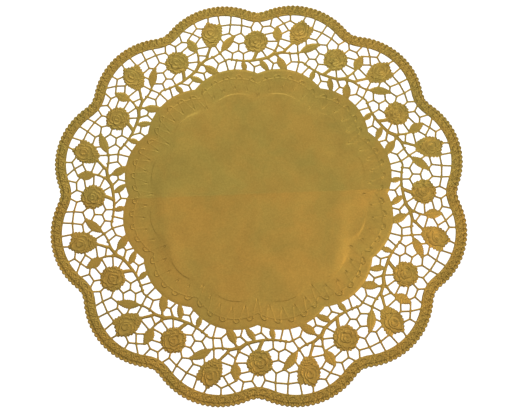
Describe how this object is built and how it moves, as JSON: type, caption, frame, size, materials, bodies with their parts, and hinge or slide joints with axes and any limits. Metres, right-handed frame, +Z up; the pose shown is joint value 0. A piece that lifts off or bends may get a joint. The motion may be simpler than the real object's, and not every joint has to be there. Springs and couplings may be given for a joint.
{
  "type": "paper doily",
  "caption": "Round flat lace doily of gold foil paper, with a scalloped beaded rim, a rose and leaf lace ring and a plain disc in the middle.",
  "frame": {"origin": "middle of the disc, on the underside, which lies on the surface", "axes": "+Z up out of the gold side; a valley of the rim lies on +X, the picture's right, and +Y points away from the viewer"},
  "size_m": [0.3518, 0.3518, 0.0016],
  "materials": {
    "gold_paper": "satin gold foil on thin embossed paper, white paper on the underside"
  },
  "bodies": {
    "root": {"doily": "gold_paper"}
  },
  "joints": []
}
